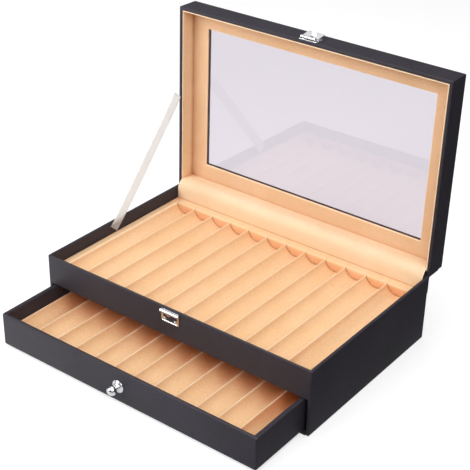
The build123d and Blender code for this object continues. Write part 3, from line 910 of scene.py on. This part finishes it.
# --------------------------------------------------------------------- spine
sp = [(YB + 0.33, 55.6), (YB + 0.33, 62), (YB + 0.33, 68), (YB + 0.33, 72), (YB + 0.36, 74.0), (YB + 0.55, 74.9), (YB + 1.3, 75.15),
      (YB + 2.6, 75.12), (YB + 6, 75.08), (YB + 12, 75.0), (YB + 19.9, 74.87)]
spl, spine_len = smooth_path(sp, 60)
sx = [-169.7 + 339.4 * i / 62 for i in range(63)]
verts = []
for i, (y, z) in enumerate(spl):
    for x in sx:
        verts.append((x, y + 0.03 * noise.noise(Vector((x * 0.03, z * 0.2, 5.0))), z))
spine = new_object("leathercloth_spine", verts, grid_faces(len(spl), len(sx)), LEATHER, fix=False)
sol = spine.modifiers.new("cloth", "SOLIDIFY")
sol.thickness, sol.offset = 0.5 * MM, 0
bake_modifiers(spine)
spine.data.shade_smooth()
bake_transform(spine)
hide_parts("spine_hinge")

# ------------------------------------------------------------------ hardware
XZ = Matrix(((1, 0, 0, 0), (0, 0, 1, 0), (0, 1, 0, 0), (0, 0, 0, 1)))     # outline (x, z), thickness along y


def at_y(y):
    return Matrix.Translation((0, y * MM, 0)) @ XZ


def bead(name, pts, r, mat, matrix=None, steps=10):
    """Half-round bead or wire along points, with capped ends."""
    cu = bpy.data.curves.new(name, "CURVE")
    cu.dimensions = "3D"
    s = cu.splines.new("POLY")
    s.points.add(len(pts) - 1)
    for p, q in zip(s.points, pts):
        p.co = (q[0] * MM, q[1] * MM, q[2] * MM, 1)
    cu.bevel_depth, cu.bevel_resolution, cu.use_fill_caps = r * MM, 4, True
    ob = bpy.data.objects.new(name, cu)
    scene.collection.objects.link(ob)
    dg = bpy.context.evaluated_depsgraph_get()
    me = bpy.data.meshes.new_from_object(ob.evaluated_get(dg))
    bpy.data.objects.remove(ob)
    bpy.data.curves.remove(cu)
    if matrix is not None:
        me.transform(matrix)
    me.materials.clear()
    me.materials.append(mat)
    me.shade_smooth()
    out = bpy.data.objects.new(name, me)
    scene.collection.objects.link(out)
    return out


def tube_x(name, x0, x1, y, z, r_out, r_in, mat, matrix=None, steps=36, soft=0.18):
    """Rolled knuckle along X with a bore."""
    prof = [(r_in, x0 + soft), (r_in + soft, x0), (r_out - soft, x0), (r_out - soft * 0.3, x0 + soft * 0.3), (r_out, x0 + soft),
            (r_out, x1 - soft), (r_out - soft * 0.3, x1 - soft * 0.3), (r_out - soft, x1), (r_in + soft, x1), (r_in, x1 - soft)]
    verts = []
    for r, x in prof:
        for i in range(steps):
            t = 2 * math.pi * i / steps
            verts.append((x, y + r * math.cos(t), z + r * math.sin(t)))
    faces = grid_faces(len(prof), steps, wrap_v=True)
    last = (len(prof) - 1) * steps
    faces += [(last + j, last + (j + 1) % steps, (j + 1) % steps, j) for j in range(steps)]
    return new_object(name, verts, faces, mat, matrix)


# keeper on the fascia: stamped plate, raised border, lip with a pointed tab
parts = [outline_plate("k0", rounded_rect(-11.4, 11.4, 59.2, 73.2, 1.3),
                       [arc(px, 62.4, 0.62, 0, 345, 23) for px in (-6.6, 6.6)] + [[(-8.8, 71.6), (-8.8, 64.9), (-8.4, 64.5), (-5.4, 64.5), (-5.0, 64.1),
                        (-5.0, 61.3), (-4.6, 60.9), (4.6, 60.9), (5.0, 61.3), (5.0, 64.1), (5.4, 64.5), (8.4, 64.5), (8.8, 64.9), (8.8, 71.6)]],
                       0.8, 0.2, at_y(YF - 0.4), CHROME)]
border = [(-10.7, YF - 0.85, 71.8), (-10.7, YF - 0.85, 61.4)] + \
    [(x, YF - 0.85, z) for x, z in arc(-9.2, 61.4, 1.5, 180, 270, 6)[1:]] + \
    [(x, YF - 0.85, z) for x, z in arc(9.2, 61.4, 1.5, 270, 360, 6)] + [(10.7, YF - 0.85, 71.8)]
parts.append(bead("k1", border, 0.62, CHROME))
xs = sorted(set([round(-11.7 + 23.4 * i / 78, 3) for i in range(79)]))
verts = []
rows = 26
for i in range(rows):
    t = i / (rows - 1)
    for x in xs:
        drop = 0.7 if abs(x) > 3.6 else 0.7 + 2.5 * (1 - abs(x) / 3.6) ** 0.9
        drop -= 0.4 * (max(0.0, abs(x) - 11.0) / 0.7) ** 2
        roll = 2.05 * math.radians(98)
        q = t * (roll + drop)
        if q < roll:
            g = math.radians(80) + q / 2.05
            y, z = YF - 1.2 + 2.05 * math.cos(g), 70.75 + 2.05 * math.sin(g)
        else:
            y, z = YF - 3.25, 70.68 - (q - roll)
        verts.append((x, y, z))
lip = new_object("k2", verts, grid_faces(rows, len(xs)), CHROME, fix=False)
m = lip.modifiers.new("t", "SOLIDIFY")
m.thickness, m.offset = 0.7 * MM, 0
m = lip.modifiers.new("b", "BEVEL")
m.width, m.segments, m.limit_method, m.angle_limit = 0.14 * MM, 2, "ANGLE", math.radians(55)
bake_modifiers(lip)
parts.append(lip)
keeper = join("keeper", parts, CHROME)
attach(keeper, "chest")
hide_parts("keeper_plate")

# latch plate on the lid, with two rolled ears
parts = [outline_plate("l0", rounded_rect(-11.8, 11.8, 76.6, 91.6, 1.5), [arc(px, 88.6, 0.62, 0, 345, 23) for px in (-8.4, 8.4)],
                       0.8, 0.2, at_y(YF - 0.4), CHROME, TO_OPEN)]
for s in (-1, 1):
    a, b = sorted((s * 5.3, s * 9.2))
    parts.append(tube_x("l1", a, b, KY, KNZ, 1.5, 0.66, CHROME, TO_OPEN))
    path = arc(KY, KNZ, 1.15, 205, 80, 10)[0:0] + [(YF - 0.45, 83.2), (YF - 0.5, 81.8), (YF - 0.9, 80.7), (YF - 1.7, 79.9),
                                                    (KY + 0.5, 79.35), (KY, 79.25)]
    pth, _ = smooth_path(path, 18)
    parts.append(strip_sheet("l2", pth, [a + (b - a) * i / 6 for i in range(7)], 0.6, CHROME, TO_OPEN, 0.12))
parts.append(bead("l3", [(-10.9, YF - 0.8, 80.5), (-10.9, YF - 0.8, 90.0), (-10.0, YF - 0.8, 90.8), (10.0, YF - 0.8, 90.8),
                         (10.9, YF - 0.8, 90.0), (10.9, YF - 0.8, 80.5)], 0.38, CHROME, TO_OPEN))
latch = join("latch", parts, CHROME)
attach(latch, "lid")
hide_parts("latch_plate")

# hasp, shaped hanging over the keeper, then folded back
HM = TO_OPEN @ HASP_BACK
HP = YF - 4.5
shape = arc(8.2, 64.0, 2.0, -90, 0, 6) + arc(8.7, 73.2, 1.5, 0, 75, 5) + [(6.4, 75.6), (4.9, 76.9), (4.9, 78.4), (-4.9, 78.4), (-4.9, 76.9),
                                                                        (-6.4, 75.6)] + \
    arc(-8.7, 73.2, 1.5, 105, 180, 5) + arc(-8.2, 64.0, 2.0, 180, 270, 6)
parts = [outline_plate("h0", shape, [arc(0, 72.2, 1.6, 0, 350, 35)], 0.8, 0.2, at_y(HP), CHROME, HM),
         tube_x("h1", -4.9, 4.9, KY, KNZ, 1.5, 0.66, CHROME, HM)]
parts.append(bead("h2", [(-9.4, HP - 0.35, 62.5), (9.4, HP - 0.35, 62.5)], 0.85, CHROME, HM))
parts.append(bead("h3", [(x, HP - 0.42, z) for x, z in [(-7.2, 65.4), (-7.2, 70.4)] + arc(-5.2, 70.4, 2.0, 180, 90, 5)[1:] +
                         arc(5.2, 70.4, 2.0, 90, 0, 5) + [(7.2, 65.4)]], 0.42, CHROME, HM))
ring_pts = [(x, HP - 0.42, z) for x, z in arc(0, 72.2, 1.95, 0, 360, 40)]
hook, _ = smooth_path([(HP + 0.35, 69.2), (HP + 0.45, 67.6), (HP + 0.9, 66.8), (HP + 1.8, 66.55), (HP + 2.6, 66.6)], 14)
parts.append(strip_sheet("h4", hook, [-3.2 + 6.4 * i / 8 for i in range(9)], 0.55, CHROME, HM, 0.1))
hasp = join("hasp_flap", parts, CHROME)
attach(hasp, "hasp")
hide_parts("hasp")

# knob: turned rosette and ball on a waisted neck
ros = [(0.0, 0.02), (6.2, 0.02), (6.85, 0.1), (7.0, 0.35), (6.95, 0.7), (6.7, 0.98), (6.3, 1.08), (6.0, 1.12), (5.85, 1.3), (5.6, 1.62),
       (5.1, 1.95), (4.6, 2.12), (4.35, 2.2), (4.2, 2.4), (4.0, 2.9), (3.85, 3.3), (3.6, 3.52), (3.2, 3.58), (0.0, 3.58)]
rosette = lathe("knob_base", ros, (KX, DY0, KZ), (0, -1, 0), CHROME)
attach(weighted(rosette), "drawer")
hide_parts("knob_rosette")
ball = [(0.0, 3.5), (2.9, 3.5), (3.0, 3.7), (2.75, 3.95), (2.65, 4.2), (2.7, 4.4)]
for i in range(4, 33):
    a = math.radians(-90 + 180 * i / 32)
    r, h = 5.2 * math.cos(a), BALL_OUT + 5.2 * math.sin(a)
    if h > 4.5:
        ball.append((max(r, 0.0), h))
knob = lathe("knob", ball, (KX, DY0, KZ), (0, -1, 0), CHROME, 64)
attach(knob, "drawer")
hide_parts("knob_ball")

# ------------------------------------------------- pieces kept from the frame
for node, mat in (("base_board", BOARD), ("shelf_board", BOARD), ("drawer_bottom", BOARD), ("keeper_pins", CHROME),
                  ("latch_pins", CHROME), ("hasp_pin", CHROME), ("knob_screw", STEEL)):
    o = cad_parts[node]
    o.data.materials.clear()
    o.data.materials.append(mat)

# ------------------------------------------------------------- stage, lights
floor_mat = Mat("floor")
f = floor_mat.noise(1.3, 2, 0.5)
floor_mat.link(floor_mat.mix(f, (0.60, 0.60, 0.60), (0.62, 0.62, 0.62)), floor_mat.b.inputs["Base Color"])
floor_mat.set(Roughness=0.9, Specular_IOR_Level=0.1)
lit = floor_mat.node("Emission")
lit.inputs["Strength"].default_value = 0.50
both = floor_mat.node("AddShader")
floor_mat.link(floor_mat.b.outputs[0], both.inputs[0])
floor_mat.link(lit.outputs[0], both.inputs[1])
# painted light: reflected and bounced rays see the floor glow as a white card in front on the left and a black one on
# the right; the camera and rays through glass see it evenly pale, with a faint glow of its own
fx = floor_mat.node("SeparateXYZ")
floor_mat.link(floor_mat.space, fx.inputs[0])
card = floor_mat.ramp(floor_mat.math("ADD", floor_mat.math("MULTIPLY", fx.outputs["X"], 1.0), 0.5),
                      [(0.0, 0.9), (0.30, 1.0), (0.62, 0.42), (0.70, 0.10), (1.0, 0.05)])
card_glow = floor_mat.node("Emission")
card_glow.inputs["Strength"].default_value = 1.35
floor_mat.link(card, card_glow.inputs["Color"])
path = floor_mat.node("LightPath")
pick = floor_mat.node("MixShader")
out = next(n for n in floor_mat.t.nodes if n.type == "OUTPUT_MATERIAL")
direct = floor_mat.math("MAXIMUM", path.outputs["Is Camera Ray"], path.outputs["Is Transmission Ray"])
floor_mat.link(direct, pick.inputs[0])
floor_mat.link(card_glow.outputs[0], pick.inputs[1])
floor_mat.link(both.outputs[0], pick.inputs[2])
floor_mat.link(pick.outputs[0], out.inputs["Surface"])
floor = new_object("floor", [(-9000, -9000, 0), (9000, -9000, 0), (9000, 9000, 0), (-9000, 9000, 0)], [(0, 1, 2, 3)], floor_mat.m)
floor.location.z = -0.0002

# studio: a soft white ceiling over darker walls
world = bpy.data.worlds.new("studio")
scene.world = world
world.use_nodes = True
wt = world.node_tree
bg = wt.nodes["Background"]
wc = wt.nodes.new("ShaderNodeTexCoord")
ws = wt.nodes.new("ShaderNodeSeparateXYZ")
wr = wt.nodes.new("ShaderNodeValToRGB")
wt.links.new(wc.outputs["Generated"], ws.inputs[0])
wt.links.new(ws.outputs["Z"], wr.inputs["Fac"])
wt.links.new(wr.outputs["Color"], bg.inputs["Color"])
we = wr.color_ramp.elements
while len(we) < 4:
    we.new(0.5)
for el, (pos, v) in zip(we, ((0.0, 0.08), (0.40, 0.12), (0.66, 0.62), (1.0, 1.0))):
    el.position = pos
    el.color = (v, v, v * 1.01, 1)
bg.inputs["Strength"].default_value = 0.62


def area(name, loc, target, size, power, colour=(1, 1, 1)):
    l = bpy.data.lights.new(name, "AREA")
    l.shape, l.size, l.size_y, l.energy, l.color = "RECTANGLE", size[0], size[1], power, colour
    o = bpy.data.objects.new(name, l)
    scene.collection.objects.link(o)
    o.location = loc
    o.rotation_mode = "QUATERNION"
    o.rotation_quaternion = (Vector(loc) - Vector(target)).to_track_quat("Z", "Y")
    return o


area("key", (-0.80, -1.25, 0.95), (-0.02, -0.02, 0.08), (1.1, 1.0), 18)
area("fill", (1.35, -1.0, 1.30), (0, 0, 0.08), (1.3, 1.1), 20)
area("top", (0.25, -0.15, 2.10), (0, 0, 0.05), (1.8, 1.8), 15)
area("rim", (-0.77, 0.96, 1.27), (0, 0.13, 0.29), (0.8, 0.8), 1.5)

scene.view_settings.view_transform = "Standard"
scene.view_settings.look = "None"
scene.view_settings.exposure = 0.0
